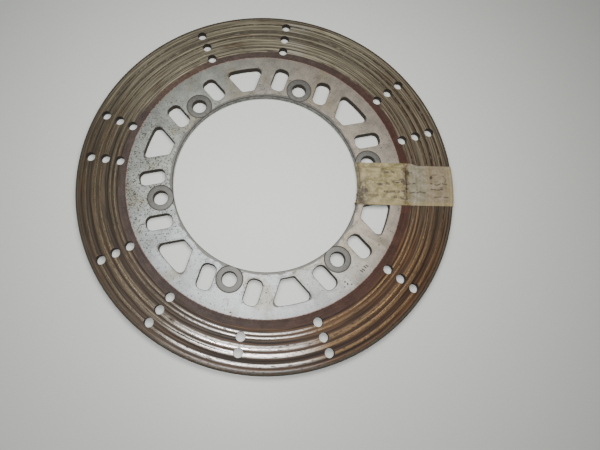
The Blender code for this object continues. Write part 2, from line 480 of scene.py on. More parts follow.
def window_cutter():
    first = window_corner(WINDOW_OUTER, -1)
    last = window_corner(WINDOW_OUTER, 1)
    corners = [
        (window_corner(WINDOW_INNER, -1), WINDOW_INNER_CORNER),
        (first, WINDOW_OUTER_CORNER),
    ]
    sweep = last.angle_signed(first)
    for i in range(1, WINDOW_ARC_PARTS):
        point = first.copy()
        point.rotate(Matrix.Rotation(sweep * i / WINDOW_ARC_PARTS, 2))
        corners.append((point, 0.0))
    corners.append((last, WINDOW_OUTER_CORNER))
    corners.append((window_corner(WINDOW_INNER, 1), WINDOW_INNER_CORNER))
    window = through_cutter("windows", rounded(corners), HOLE_CHAMFER)
    return repeated(window, opening_turns(BOLT_PITCH / 2, drawn_at=0.0))


def drilled_cutter():
    hole = through_cutter("drilled", circle(DRILL_RADIUS, DRILL_STEPS), HOLE_CHAMFER)
    rows = [(row, DRILL_CIRCLES) for row in DRILL_ROWS]
    rows.append((SHORT_ROW, SHORT_ROW_CIRCLES))
    placements = []
    for row, circles in rows:
        for radius in circles:
            centre = Matrix.Translation((radius, 0.0, 0.0))
            placements.append(about_z(BOLT_PHASE + radians(row)) @ centre)
    return repeated(hole, placements)


def punch_cutter():
    """Short strokes pressed into the face."""
    bm = bmesh.new()
    for radius, degrees, turn, length in PUNCH_MARKS:
        place = about_z(radians(degrees)) @ Matrix.Translation((radius, 0.0, THICKNESS))
        size = Matrix.Diagonal((length, PUNCH_WIDTH, 2 * PUNCH_DEPTH, 1.0))
        bmesh.ops.create_cube(bm, size=1.0, matrix=place @ about_z(radians(turn)) @ size)
    return mesh_object("punch_marks", bm)


def joined_cutter(cutters):
    bm = bmesh.new()
    for cutter in cutters:
        bm.from_mesh(cutter.data)
        bpy.data.objects.remove(cutter, do_unlink=True)
    return mesh_object("cutters", bm)


def plate():
    """The one-piece disc: a turned ring with scored faces, cut through by every opening."""
    top = face_profile()
    rim = [(DISC_RADIUS, THICKNESS - EDGE_BREAK), (DISC_RADIUS, EDGE_BREAK)]
    bottom = [(radius, THICKNESS - height) for radius, height in reversed(top)]
    bore = [(BORE_RADIUS, EDGE_BREAK), (BORE_RADIUS, THICKNESS - EDGE_BREAK)]
    disc = turned("rotor_plate", top + rim + bottom + bore, DISC_STEPS, closed=True)
    cutters = (bolt_hole_cutter(), slot_cutter(), window_cutter(), drilled_cutter(), punch_cutter())
    cut(disc, joined_cutter(cutters))
    smooth(disc)
    disc.data.materials.clear()
    disc.data.materials.append(plate_material())
    return disc


# ---------------------------------------------------------------- shader helpers

Look = namedtuple("Look", "colour roughness metallic")


class Graph:
    """Adds shader nodes to a new material and links them."""

    def __init__(self, name):
        self.material = bpy.data.materials.new(name)
        self.material.use_nodes = True
        self.tree = self.material.node_tree
        self.shader = self.tree.nodes["Principled BSDF"]
        self.point = self.add("ShaderNodeTexCoord").outputs["Object"]

    def add(self, kind, inputs=(), **settings):
        node = self.tree.nodes.new(kind)
        for name, value in settings.items():
            setattr(node, name, value)
        for key, value in dict(inputs).items():
            self.feed(node.inputs[key], value)
        return node

    def feed(self, socket, value):
        if isinstance(value, bpy.types.NodeSocket):
            self.tree.links.new(value, socket)
        elif socket.type == "RGBA":
            socket.default_value = (*value, 1.0)
        else:
            socket.default_value = value

    def math(self, operation, *values):
        return self.add("ShaderNodeMath", enumerate(values), operation=operation).outputs[0]

    def step(self, value, low, high):
        """0 below low and 1 above high, eased; the other way round if high is below low."""
        inputs = {"Value": value, "From Min": low, "From Max": high}
        return self.add("ShaderNodeMapRange", inputs, interpolation_type="SMOOTHSTEP").outputs[0]

    def scaled(self, value, low, high):
        """Map 0 to 1 onto low to high."""
        return self.math("MULTIPLY_ADD", value, high - low, low)

    def mix(self, factor, a, b):
        """Mix two colours, or two numbers."""
        numbers = isinstance(a, float) or getattr(a, "type", "") == "VALUE"
        kind, first = ("FLOAT", 2) if numbers else ("RGBA", 6)
        node = self.add("ShaderNodeMix", data_type=kind)
        self.feed(node.inputs[0], factor)
        self.feed(node.inputs[first], a)
        self.feed(node.inputs[first + 1], b)
        return node.outputs[0 if numbers else 2]

    def shade(self, colour, factor):
        """Multiply a colour by a number."""
        node = self.add("ShaderNodeVectorMath", operation="SCALE")
        self.feed(node.inputs[0], colour)
        self.feed(node.inputs["Scale"], factor)
        return node.outputs[0]

    def layer(self, mask, under, over):
        """Lay one look over another where the mask is 1."""
        return Look(*(self.mix(mask, a, b) for a, b in zip(under, over)))

    def noise(self, vector, scale, detail=2.0, roughness=0.5):
        inputs = {"Vector": vector, "Scale": scale, "Detail": detail, "Roughness": roughness}
        return self.add("ShaderNodeTexNoise", inputs).outputs["Fac"]

    def vector(self, x, y, z):
        return self.add("ShaderNodeCombineXYZ", {0: x, 1: y, 2: z}).outputs[0]

    def ramp(self, factor, stops):
        """A number that follows (position, value) stops."""
        node = self.add("ShaderNodeValToRGB", {"Fac": factor})
        elements = node.color_ramp.elements
        while len(elements) < len(stops):
            elements.new(1.0)
        for element, (position, value) in zip(elements, stops):
            element.position = position
            element.color = (value, value, value, 1.0)
        return self.math("ADD", node.outputs["Color"], 0.0)

    def finish(self, look, height, distance):
        self.feed(self.shader.inputs["Base Color"], look.colour)
        self.feed(self.shader.inputs["Roughness"], look.roughness)
        self.feed(self.shader.inputs["Metallic"], look.metallic)
        bump = self.add("ShaderNodeBump", {"Height": height, "Distance": distance})
        self.feed(self.shader.inputs["Normal"], bump.outputs[0])
        return self.material


# ---------------------------------------------------------------- plate's material


class PlateSpace:
    """Distances and directions on the plate, as sockets, for masks to read."""

    def __init__(self, graph):
        self.graph = graph
        parts = graph.add("ShaderNodeSeparateXYZ", {0: graph.point})
        self.x, self.y, self.z = parts.outputs
        plane = graph.vector(self.x, self.y, 0.0)
        self.radius = self.length(plane)
        self.east = graph.math("DIVIDE", self.x, self.radius)
        self.north = graph.math("DIVIDE", self.y, self.radius)
        normal = graph.add("ShaderNodeNewGeometry").outputs["True Normal"]
        level = graph.add("ShaderNodeSeparateXYZ", {0: normal}).outputs[2]
        self.level = graph.math("ABSOLUTE", level)
        self.angle = graph.math("ARCTAN2", self.y, self.x)

    def length(self, vector):
        return self.graph.add("ShaderNodeVectorMath", {0: vector}, operation="LENGTH").outputs["Value"]

    def from_centre(self, centre):
        """Distance in the plane from another centre."""
        graph = self.graph
        x = graph.math("SUBTRACT", self.x, centre.x)
        y = graph.math("SUBTRACT", self.y, centre.y)
        return self.length(graph.vector(x, y, 0.0))

    def swirl(self, blotches, width):
        """Coordinates whose noise makes long streaks round the axis."""
        graph = self.graph
        return graph.vector(
            graph.math("MULTIPLY", self.east, blotches),
            graph.math("MULTIPLY", self.north, blotches),
            graph.math("DIVIDE", self.radius, width),
        )

    def side(self, angle, spread):
        """1 at an angle round the disc, fading to 0 at a spread to each side of it."""
        graph = self.graph
        along = graph.math("MULTIPLY", self.east, cos(angle))
        facing = graph.math("MULTIPLY_ADD", self.north, sin(angle), along)
        return graph.step(facing, cos(spread), 1.0)

    def fold(self, angle):
        """Lay all six bolt sectors on one, halved about the bolt hole's radial line."""
        graph = self.graph
        turned_by = graph.math("SUBTRACT", angle, BOLT_PHASE - BOLT_PITCH / 2)
        wrapped = graph.math("FLOORED_MODULO", turned_by, BOLT_PITCH)
        local = graph.math("SUBTRACT", wrapped, BOLT_PITCH / 2)
        along = graph.math("MULTIPLY", self.radius, graph.math("COSINE", local))
        across = graph.math("MULTIPLY", self.radius, graph.math("SINE", local))
        return along, graph.math("ABSOLUTE", across)

    def from_bolt(self):
        graph = self.graph
        along, across = self.fold(self.angle)
        return self.length(graph.vector(graph.math("SUBTRACT", along, BOLT_CIRCLE), across, 0.0))

    def beyond(self, value, start):
        return self.graph.math("MAXIMUM", self.graph.math("SUBTRACT", value, start), 0.0)

    def from_slot(self, place):
        """Distance outside the nearest slot's edge."""
        graph = self.graph
        reach = (SLOT_LENGTH / 2 - SLOT_CORNER, SLOT_WIDTH / 2 - SLOT_CORNER)
        offsets = []
        for position, centre, half in zip(place, (SLOT_CENTRE, SLOT_OFFSET), reach):
            away = graph.math("ABSOLUTE", graph.math("SUBTRACT", position, centre))
            offsets.append(self.beyond(away, half))
        return graph.math("SUBTRACT", self.length(graph.vector(*offsets, 0.0)), SLOT_CORNER)

    def from_window(self, place):
        """Distance outside the nearest window's edge, rounded at its outer corners."""
        graph = self.graph
        corner = WINDOW_OUTER_CORNER
        side = self.beyond(graph.math("SUBTRACT", WINDOW_SIDE_OFFSET + corner, place[1]), 0.0)
        outer = self.beyond(self.radius, WINDOW_OUTER - corner)
        rounded_off = graph.math("SUBTRACT", self.length(graph.vector(side, outer, 0.0)), corner)
        inner = graph.math("SUBTRACT", WINDOW_INNER, self.radius)
        return graph.math("MAXIMUM", rounded_off, inner)

    def from_opening(self):
        """Distance outside the nearest slot or window."""
        graph = self.graph
        sway = graph.math("MULTIPLY", self.east, OPENING_DRIFT * cos(DRIFT_ANGLE))
        sway = graph.math("MULTIPLY_ADD", self.north, OPENING_DRIFT * sin(DRIFT_ANGLE), sway)
        drift = graph.math("ADD", sway, OPENING_TURN)
        place = self.fold(graph.math("SUBTRACT", self.angle, drift))
        return graph.math("MINIMUM", self.from_slot(place), self.from_window(place))


def worn_band(graph, space):
    """Scored steel: glossy dark crests between dull brown valleys, streaked round the axis. Painted light: a
    near-white highlight on the crests at the bottom and a pale sheen streak at the top; painted shade
    darkens the valleys to the left, lower left and lower right.
    """
    wander = graph.noise(space.swirl(2.0, 0.004), 1.0, 2.0)
    radius = graph.math("ADD", space.radius, graph.scaled(wander, -0.0002, 0.0002))
    start, end = RIDGES[0][0], RIDGES[-1][0]
    lowest = min(height for _, height in RIDGES)
    crest = max(height for _, height in RIDGES[1:-1])
    stops = []
    for ring, height in RIDGES:
        shine = min(1.0, (height - lowest) / (crest - lowest))
        stops.append(((ring - start) / (end - start), shine))
    place = graph.math("DIVIDE", graph.math("SUBTRACT", radius, start), end - start)
    polish = graph.ramp(place, stops)

    streak = graph.noise(space.swirl(1.4, 0.0011), 1.0, 3.0, 0.65)
    fine = graph.noise(space.swirl(7.0, 0.00032), 1.0, 2.0, 0.6)
    patch = graph.noise(space.swirl(3.0, 0.006), 1.0, 3.0, 0.6)
    pits = graph.noise(space.swirl(34.0, 0.0007), 1.0, 3.0, 0.7)
    kept = graph.math("MULTIPLY", graph.step(streak, 0.25, 0.48), graph.step(pits, 0.31, 0.50))
    polish = graph.math("MULTIPLY", graph.math("POWER", polish, 2.6), kept)

    rust = space.side(radians(-46), radians(72))
    inner_rings = graph.scaled(graph.step(radius, 0.1140, 0.1110), 0.2, 1.0)
    gold = graph.math("MULTIPLY", graph.math("MULTIPLY", rust, inner_rings), graph.step(streak, 0.46, 0.60))
    # Painted shade: towards 192 degrees, the left, the valleys turn near-black; the crests there only turn
    # warmer.
    left = graph.math("MULTIPLY", space.side(radians(192), radians(54)), 0.92)
    valley = graph.mix(rust, (0.160, 0.139, 0.098), (0.050, 0.018, 0.006))
    valley = graph.mix(left, valley, (0.031, 0.021, 0.013))
    right = graph.math("MULTIPLY", space.side(radians(22), radians(42)), 0.55)
    valley = graph.mix(right, valley, (0.095, 0.072, 0.045))
    # Painted shade: the valleys darken towards 258 degrees, round and below the highlight.
    painted_shade_lower_left = graph.math("MULTIPLY", space.side(radians(258), radians(75)), 0.85)
    valley = graph.mix(painted_shade_lower_left, valley, (0.052, 0.030, 0.020))
    valley = graph.mix(graph.math("MULTIPLY", gold, 0.35), valley, (0.17, 0.085, 0.027))
    valley = graph.mix(graph.step(patch, 0.55, 0.72), valley, (0.060, 0.031, 0.016))
    tarnished = graph.mix(rust, (0.20, 0.170, 0.13), (0.27, 0.175, 0.09))
    tarnished = graph.mix(left, tarnished, (0.20, 0.150, 0.095))
    tarnished = graph.mix(space.side(radians(22), radians(42)), tarnished, (0.09, 0.055, 0.035))
    # Painted highlight: the crests turn near-white only round 268 degrees, where the lamp's highlight falls.
    steel = graph.mix(space.side(radians(268), radians(29)), tarnished, (0.88, 0.84, 0.80))
    rings = graph.noise(graph.vector(graph.math("DIVIDE", radius, 0.0009), 3.0, 0.0), 1.0, 2.0, 0.6)
    colour = graph.shade(valley, graph.scaled(graph.step(streak, 0.34, 0.66), 0.45, 1.65))
    colour = graph.shade(colour, graph.scaled(graph.step(rings, 0.30, 0.70), 0.55, 1.45))
    colour = graph.shade(colour, graph.scaled(graph.step(fine, 0.28, 0.72), 0.5, 1.5))
    # Painted sheen: a pale streak across the band at 84.5 degrees, on the highlight's line through the
    # centre.
    painted_sheen = graph.math("MULTIPLY", space.side(radians(84.5), radians(6)), graph.step(streak, 0.48, 0.60))
    colour = graph.mix(graph.math("MULTIPLY", painted_sheen, 0.7), colour, (0.33, 0.31, 0.27))
    # Painted shade: the band's valleys darken towards -65 degrees, the lower right.
    lower = space.side(radians(-65), radians(125))
    colour = graph.shade(colour, graph.scaled(lower, 1.0, 0.74))
    colour = graph.mix(polish, colour, graph.shade(steel, graph.scaled(fine, 0.45, 1.55)))
    roughness = graph.mix(polish, 0.60, 0.18)
    roughness = graph.math("ADD", roughness, graph.scaled(fine, -0.08, 0.08))
    metallic = graph.mix(polish, 0.15, 1.0)
    return Look(colour, roughness, metallic), fine


def unswept_edge(graph, space):
    """The rim of the track that the pads only brush: dark purple-brown rust with pale specks."""
    speck = graph.noise(space.swirl(60.0, 0.0006), 1.0, 2.0, 0.7)
    patch = graph.noise(graph.point, 130.0, 3.0, 0.6)
    rust = space.side(radians(-10), radians(100))
    colour = graph.mix(rust, (0.070, 0.049, 0.043), (0.062, 0.028, 0.019))
    grit = graph.noise(graph.point, 1500.0, 2.0, 0.7)
    colour = graph.shade(colour, graph.scaled(patch, 0.4, 1.6))
    colour = graph.shade(colour, graph.scaled(grit, 0.2, 1.8))
    chipped = graph.math("MULTIPLY", space.side(radians(134), radians(22)), graph.step(speck, 0.42, 0.55))
    colour = graph.mix(graph.math("MULTIPLY", chipped, 0.45), colour, (0.17, 0.10, 0.06))
    colour = graph.mix(graph.step(speck, 0.66, 0.76), colour, (0.15, 0.12, 0.095))
    return Look(colour, 0.65, 0.2)


def bare_steel(graph, from_bolt):
    """Grey steel where the paint is gone: bolt seats, turned in rings, and the bore's edge."""
    mottle = graph.noise(graph.point, 700.0, 3.0, 0.6)
    rings = graph.noise(graph.vector(graph.math("DIVIDE", from_bolt, 0.0004), 0.0, 0.0), 1.0, 1.0)
    colour = graph.shade((0.150, 0.145, 0.135), graph.scaled(mottle, 0.5, 1.5))
    colour = graph.shade(colour, graph.scaled(rings, 0.6, 1.4))
    return Look(colour, graph.scaled(mottle, 0.4, 0.65), 0.5)


def silver_paint(graph, space):
    """Matt silver paint gone patchy: warmer to one side, greenish to the other, stained. Painted light makes
    it lighter and bluer towards the bottom.
    """
    mottle = graph.noise(graph.point, 150.0, 4.0, 0.6)
    cloud = graph.noise(graph.point, 45.0, 3.0, 0.55)
    warm = graph.math("MULTIPLY", space.side(radians(25), radians(125)), graph.scaled(mottle, 0.5, 1.5))
    colour = graph.mix(warm, (0.345, 0.352, 0.326), (0.35, 0.305, 0.255))
    # Painted light: the paint turns lighter and bluer towards -105 degrees, the bottom, as if nearer the
    # lamp.
    colour = graph.mix(space.side(radians(-105), radians(80)), colour, (0.385, 0.40, 0.405))
    stain = graph.math("MULTIPLY", graph.step(cloud, 0.50, 0.66), 0.55)
    colour = graph.mix(stain, colour, (0.27, 0.23, 0.15))
    colour = graph.shade(colour, graph.scaled(mottle, 0.60, 1.40))
    grain = graph.noise(graph.point, 1300.0, 3.0, 0.75)
    colour = graph.shade(colour, graph.scaled(grain, 0.55, 1.45))
    return Look(colour, graph.scaled(mottle, 0.40, 0.56), 0.6), grain


def paint_dirt(graph, space):
    """How much loose dirt sits on the paint: specks, thickest to the left, and faint scuffs."""
    dots = graph.noise(graph.point, 1100.0, 1.0, 0.5)
    drift = graph.noise(graph.point, 90.0, 2.0, 0.5)
    left = graph.math("MULTIPLY", space.side(radians(185), radians(48)), 0.10)
    right = graph.math("MULTIPLY", space.side(radians(-35), radians(60)), -0.02)
    bias = graph.math("ADD", graph.math("ADD", left, right), graph.scaled(drift, -0.09, 0.09))
    specks = graph.step(graph.math("ADD", dots, bias), 0.66, 0.72)
    scuff = graph.noise(space.swirl(7.0, 0.0022), 1.0, 4.0, 0.7)
    scuffed = graph.math("MULTIPLY", graph.step(scuff, 0.60, 0.72), 0.25)
    smear = graph.noise(graph.point, 240.0, 4.0, 0.65)
    smudge = graph.math("MULTIPLY", graph.step(space.radius, 0.0730, 0.0680), graph.step(smear, 0.50, 0.62))
    smudge = graph.math("MULTIPLY", smudge, 0.42)
    return graph.math("MAXIMUM", specks, graph.math("MAXIMUM", scuffed, smudge))


def plate_material():
    graph = Graph("worn_disc_steel")
    space = PlateSpace(graph)
    from_bolt = space.from_bolt()
    band, fine = worn_band(graph, space)
    edge = unswept_edge(graph, space)
    bare = bare_steel(graph, from_bolt)
    paint, grain = silver_paint(graph, space)
    dirt = Look((0.045, 0.036, 0.028), 0.75, 0.1)
    ragged = graph.noise(graph.point, 900.0, 3.0, 0.7)
    blotch = graph.noise(graph.point, 330.0, 4.0, 0.65)
    rusted = graph.step(blotch, 0.42, 0.62)
    lip_colour = graph.mix(rusted, (0.038, 0.036, 0.024), (0.050, 0.026, 0.013))
    lip = Look(lip_colour, graph.scaled(ragged, 0.4, 0.8), 0.2)
    # Near-black walls for the openings: partly rust, and darkened further as painted shade.
    rusty_wall_and_shade = Look(graph.mix(rusted, (0.026, 0.022, 0.018), (0.036, 0.020, 0.011)), 0.7, 0.2)
    bright = graph.scaled(graph.step(blotch, 0.40, 0.60), 0.6, 1.3)
    bore_wall = Look(graph.shade((0.17, 0.165, 0.155), bright), graph.scaled(ragged, 0.35, 0.65), 0.5)

    # Track: the brushed edge, the swept band and the rim's dark lip
    soft = graph.noise(space.swirl(8.0, 0.003), 1.0, 3.0, 0.6)
    brushed = graph.math("ADD", space.radius, graph.scaled(soft, -0.0034, 0.0034))
    look = graph.layer(graph.step(brushed, *BRUSHED_EDGE), edge, band)
    outer = graph.math("ADD", space.radius, graph.scaled(ragged, -0.0005, 0.0005))
    look = graph.layer(graph.step(outer, *LIP_EDGE), look, lip)

    # Carrier: bare steel under paint, with the paint gone at its edges and seats
    from_paint_edge = space.from_centre(PAINT_CENTRE)
    chipping = graph.scaled(space.side(radians(140), radians(35)), 0.0007, 0.0020)
    chips = graph.math("MULTIPLY", graph.math("SUBTRACT", ragged, 0.5), chipping)
    paint_edge = graph.math("ADD", from_paint_edge, graph.math("MULTIPLY", chips, 2.0))
    primer = Look(graph.shade((0.30, 0.20, 0.17), graph.scaled(grain, 0.5, 1.5)), 0.6, 0.2)
    look = graph.layer(graph.step(paint_edge, PAINT_RADIUS + 0.0006, PAINT_RADIUS + 0.0002), look, primer)
    inner = graph.math("ADD", space.radius, graph.scaled(soft, -0.0022, 0.0022))
    painted = graph.step(paint_edge, PAINT_RADIUS + 0.0001, PAINT_RADIUS - 0.0001)
    kept = graph.step(inner, PAINT_INNER - 0.0002, PAINT_INNER + 0.0002)
    kept = graph.math("MULTIPLY", kept, graph.step(from_bolt, SEAT_RADIUS - 0.0001, SEAT_RADIUS + 0.0001))
    carrier = graph.layer(graph.math("MULTIPLY", paint_dirt(graph, space), 0.85), paint, dirt)
    carrier = graph.layer(kept, bare, carrier)
    look = graph.layer(painted, look, carrier)

    # Dark ragged lines along the edges of the openings with faint patchy darkening round them, dirt round
    # the bolt seats, and dark floors in the punch marks
    opening = space.from_opening()
    near = graph.math("ADD", opening, graph.scaled(ragged, -0.0005, 0.0005))
    dark_outlines_and_dirt = graph.math("MULTIPLY", graph.step(near, 0.0007, 0.0), 0.6)
    halo = graph.math("MULTIPLY", graph.step(near, 0.0030, 0.0002), graph.step(soft, 0.40, 0.62))
    dark_outlines_and_dirt = graph.math("MAXIMUM", dark_outlines_and_dirt, graph.math("MULTIPLY", halo, 0.22))
    ring = graph.math("ABSOLUTE", graph.math("SUBTRACT", from_bolt, SEAT_RADIUS - 0.0001))
    dark_outlines_and_dirt = graph.math("MAXIMUM", dark_outlines_and_dirt, graph.math("MULTIPLY", graph.step(ring, 0.0006, 0.0001), 0.85))
    sunk = graph.step(space.z, THICKNESS - 0.5 * PUNCH_DEPTH, THICKNESS - 0.9 * PUNCH_DEPTH)
    floor_of_marks = (THICKNESS - 3 * PUNCH_DEPTH, THICKNESS - 2 * PUNCH_DEPTH)
    sunk = graph.math("MULTIPLY", sunk, graph.step(space.z, *floor_of_marks))
    pressed = graph.math("MULTIPLY", sunk, graph.step(from_bolt, 0.0100, 0.0105))
    pressed = graph.math("MULTIPLY", pressed, graph.step(space.radius, 0.0990, 0.0985))
    dark_outlines_and_dirt = graph.math("MAXIMUM", dark_outlines_and_dirt, graph.math("MULTIPLY", pressed, 0.95))
    look = graph.layer(dark_outlines_and_dirt, look, dirt)

    # Cut walls and broken edges. Painted shade: the chamfers take the dark dirt colour and the walls of the
    # openings a near-black colour that is partly rust; the bore's and rim's walls keep their own colours
    # Painted shade: chamfers and broken edges take the dark dirt colour.
    broken = graph.step(space.level, 0.93, 0.85)
    look = graph.layer(graph.math("MULTIPLY", broken, 0.8), look, dirt)
    upright = graph.step(space.level, 0.5, 0.4)
    look = graph.layer(upright, look, rusty_wall_and_shade)
    at_bore = graph.math("MULTIPLY", upright, graph.step(space.radius, *BORE_WALL))
    look = graph.layer(at_bore, look, bore_wall)
    at_rim = graph.math("MULTIPLY", upright, graph.step(space.radius, *RIM_WALL))
    look = graph.layer(at_rim, look, lip)

    on_carrier = graph.step(space.radius, *CARRIER_EDGE)
    height = graph.mix(on_carrier, fine, graph.math("MULTIPLY", grain, 0.35))
    graph.shader.inputs["Specular IOR Level"].default_value = 0.3
    return graph.finish(look, height, 0.00006)


# ---------------------------------------------------------------- label


def thin_sheet(name, rows, thickness):
    """A closed thin sheet on a grid of points, thickened upwards, laid along the label."""
    bm = bmesh.new()
    grid = [[bm.verts.new(point) for point in row] for row in rows]
    for low, high in zip(grid, grid[1:]):
        for i in range(len(low) - 1):
            bm.faces.new((low[i], low[i + 1], high[i + 1], high[i]))
    obj = mesh_object(name, bm)
    solid = obj.modifiers.new("Thickness", "SOLIDIFY")
    solid.thickness = thickness
    solid.offset = 1.0
    applied(obj)
    smooth(obj)
    obj.rotation_euler.z = LABEL_ANGLE
    return obj


def between(low, high, steps):
    return [low + (high - low) * i / steps for i in range(steps + 1)]


def wobble(x, y, size, amount):
    return amount * noise.noise(Vector((x / size, y / size, 0.0)))


def hump(distance, width):
    """1 on a line, falling to 0 away from it."""
    return 1.0 / (1.0 + (distance / width) ** 4)


def over_paper(x, y):
    """1 well inside the paper's outline, 0 well outside."""
    inside = min(x - PAPER_NEAR.x, PAPER_FAR.x - x, y - PAPER_NEAR.y, PAPER_FAR.y - y)
    return eased(min(1.0, max(0.0, inside / PAPER_RAMP + 0.5)))


def lying(x, y):
    """Height of something that lies loosely on the disc, with the label's crease in it."""
    sag = SHEET_SAG * relief(sqrt(x * x + y * y))
    crease = CREASE_HEIGHT * hump(x - CREASE - wobble(0.0, y, 0.009, 0.0008), CREASE_WIDTH)
    crease *= over_paper(x, y)
    ripple = wobble(x, y, 0.008, 0.00006) + wobble(x, y, 0.0025, 0.000025)
    return THICKNESS + SHEET_GAP + sag + crease + abs(ripple)


def paper():
    """The paper label: a slightly ragged sheet that lies on the scored face."""
    rows = []
    count_x = round((PAPER_FAR.x - PAPER_NEAR.x) / PAPER_STEP)
    count_y = round((PAPER_FAR.y - PAPER_NEAR.y) / PAPER_STEP)
    for y in between(PAPER_NEAR.y, PAPER_FAR.y, count_y):
        row = []
        for x in between(PAPER_NEAR.x, PAPER_FAR.x, count_x):
            ragged_x = x + wobble(y, 1.0, 0.003, 0.0003)
            ragged_y = y + wobble(x, 2.0, 0.004, 0.0003)
            row.append((ragged_x, ragged_y, lying(x, y)))
        rows.append(row)
    return thin_sheet("paper_sheet", rows, PAPER_THICKNESS)


def film_height(x, y, lift):
    return lying(x, y) + lift + 1.3 * PAPER_THICKNESS * over_paper(x, y)


def strip_row(fold_radius, start, end, columns, edge_y, lift):
    """One row of a strip: up the fold, round the disc's edge and along the face to its end."""
    along = 1.0 if end > start else -1.0
    y = edge_y(start)
    edge = sqrt(fold_radius**2 - y**2)
    first = edge + along * FILM_BEND
    crown = film_height(first, y, lift)
    row = []
    for z in between(FILM_FOOT, crown - FILM_BEND, 8)[:-1]:
        row.append((edge + wobble(y, z, 0.002, 0.00008), y, z))
    for turn in between(0.0, pi / 2, 5)[:-1]:
        x = edge + along * FILM_BEND * (1 - cos(turn))
        row.append((x, y, crown - FILM_BEND * (1 - sin(turn))))
    for x in between(first, end, columns):
        y = edge_y(x)
        row.append((x, y, film_height(x, y, lift)))
    return row


def strip(name, fold_radius, start, end, low, high, lift):
    """A strip of film; low and high give its two long edges, and along them it frays a little."""
    columns = round(abs(end - start) / FILM_STEP)
    rows = []
    for part in between(0.0, 1.0, round((high(start) - low(start)) / FILM_STEP)):

        def edge_y(x):
            fray = wobble(x, part, 0.0015, 0.00015)
            return low(x) + (high(x) - low(x)) * part + fray

        torn = end + wobble(part * 9.0, 0.0, 1.0, 0.0004)
        rows.append(strip_row(fold_radius, start, torn, columns, edge_y, lift))
    if end < start:
        rows.reverse()
    return thin_sheet(name, rows, FILM)


def inner_strip():
    """The upper strip, from the bore outwards, with one corner cut away."""
    low, high = INNER_EDGES

    def cut_corner(x):
        return high - max(0.0, x - STRIP_CUT) * STRIP_CUT_SLOPE

    return strip(
        "inner_tape", BORE_FOLD, BORE_RADIUS, STRIP_END, lambda x: low, cut_corner, UPPER_STRIP
    )


def outer_strip():
    """The lower strip, from the rim inwards."""
    low, high = OUTER_EDGES
    return strip(
        "outer_tape", RIM_FOLD, OUTER_START, STRIP_START, lambda x: low, lambda x: high, LOWER_STRIP
    )


def stroke(bm, points):
    """A flat pen stroke through points on the label's surface."""
    half = PEN_WIDTH / 2
    pairs = []
    for i, (x, y) in enumerate(points):
        ahead = points[min(i + 1, len(points) - 1)]
        behind = points[max(i - 1, 0)]
        across = Vector((behind[1] - ahead[1], ahead[0] - behind[0])).normalized() * half
        lift = UPPER_STRIP if x < STRIP_END else LOWER_STRIP
        z = film_height(x, y, lift) + FILM + 0.00003
        pairs.append([bm.verts.new((x + s * across.x, y + s * across.y, z)) for s in (1, -1)])
    for (a, b), (c, d) in zip(pairs, pairs[1:]):
        bm.faces.new((a, b, d, c))


def pen_marks():
    """Worn scribble in rows, with no letters in it."""
    rng = random.Random(5)
    bm = bmesh.new()
    for start, end, base, height in PEN_ROWS:
        x = start
        while x < end:
            points = []
            length = rng.uniform(0.0016, 0.0046)
            steps = max(8, round(length / 0.00013))
            phase = rng.uniform(0.0, 2 * pi)
            tempo = rng.uniform(0.75, 1.15)
            for i in range(steps + 1):
                loop = phase + tempo * i
                px = x + length * i / steps + 0.0004 * cos(loop)
                py = base + height * 0.5 * sin(loop) * rng.uniform(0.7, 1.0)
                points.append((px, py + wobble(px, base, 0.004, 0.0012)))
            stroke(bm, points)
            x += length + rng.uniform(0.0004, 0.0018)
    for points in PEN_CURVES:
        stroke(bm, points)
    obj = mesh_object("pen_marks", bm)
    solid = obj.modifiers.new("Thickness", "SOLIDIFY")
    solid.thickness = 0.00002
    applied(obj)
    obj.rotation_euler.z = LABEL_ANGLE
    obj.data.materials.append(pen_material())
    return obj


def torn_bits():
    """Stiff dirty scraps of tape that stand out from the fold at the bore."""
    bm = bmesh.new()
    rng = random.Random(2)
    for y, reach, z in TORN_BITS:
        edge = sqrt(BORE_FOLD**2 - y**2)
        ring = []
        for i in range(9):
            turn = pi / 2 + pi * i / 8
            radius = reach * rng.uniform(0.6, 1.0)
            out = edge + radius * cos(turn)
            aside = y + 0.7 * radius * sin(turn)
            ring.append(bm.verts.new((out, aside, z + rng.uniform(-1, 1) * 0.0003)))
        hub = bm.verts.new((edge + 0.0001, y, z))
        for a, b in zip(ring, ring[1:]):
            bm.faces.new((hub, a, b))
    obj = mesh_object("torn_bits", bm)
    solid = obj.modifiers.new("Thickness", "SOLIDIFY")
    solid.thickness = 0.00012
    applied(obj)
    obj.rotation_euler.z = LABEL_ANGLE
    obj.data.materials.append(scrap_material())
    return obj


def spot(graph, ragged, x, y, width, height):
    """1 in a ragged-edged oval on the label."""
    parts = graph.add("ShaderNodeSeparateXYZ", {0: graph.point})
    across = graph.math("DIVIDE", graph.math("SUBTRACT", parts.outputs[0], x), width)
    up = graph.math("DIVIDE", graph.math("SUBTRACT", parts.outputs[1], y), height)
    distance = graph.add("ShaderNodeVectorMath", {0: graph.vector(across, up, 0.0)}, operation="LENGTH")
    reach = graph.math("ADD", distance.outputs["Value"], graph.scaled(ragged, -0.9, 0.9))
    return graph.step(reach, 1.25, 0.55)


def paper_material():
    graph = Graph("aged_label_paper")
    cloud = graph.noise(graph.point, 170.0, 4.0, 0.6)
    fibre = graph.noise(graph.point, 2600.0, 3.0, 0.7)
    colour = graph.mix(graph.step(cloud, 0.38, 0.62), (0.25, 0.205, 0.115), (0.36, 0.31, 0.20))
    colour = graph.shade(colour, graph.scaled(fibre, 0.7, 1.3))
    return graph.finish(Look(colour, 0.85, 0.0), fibre, 0.00004)


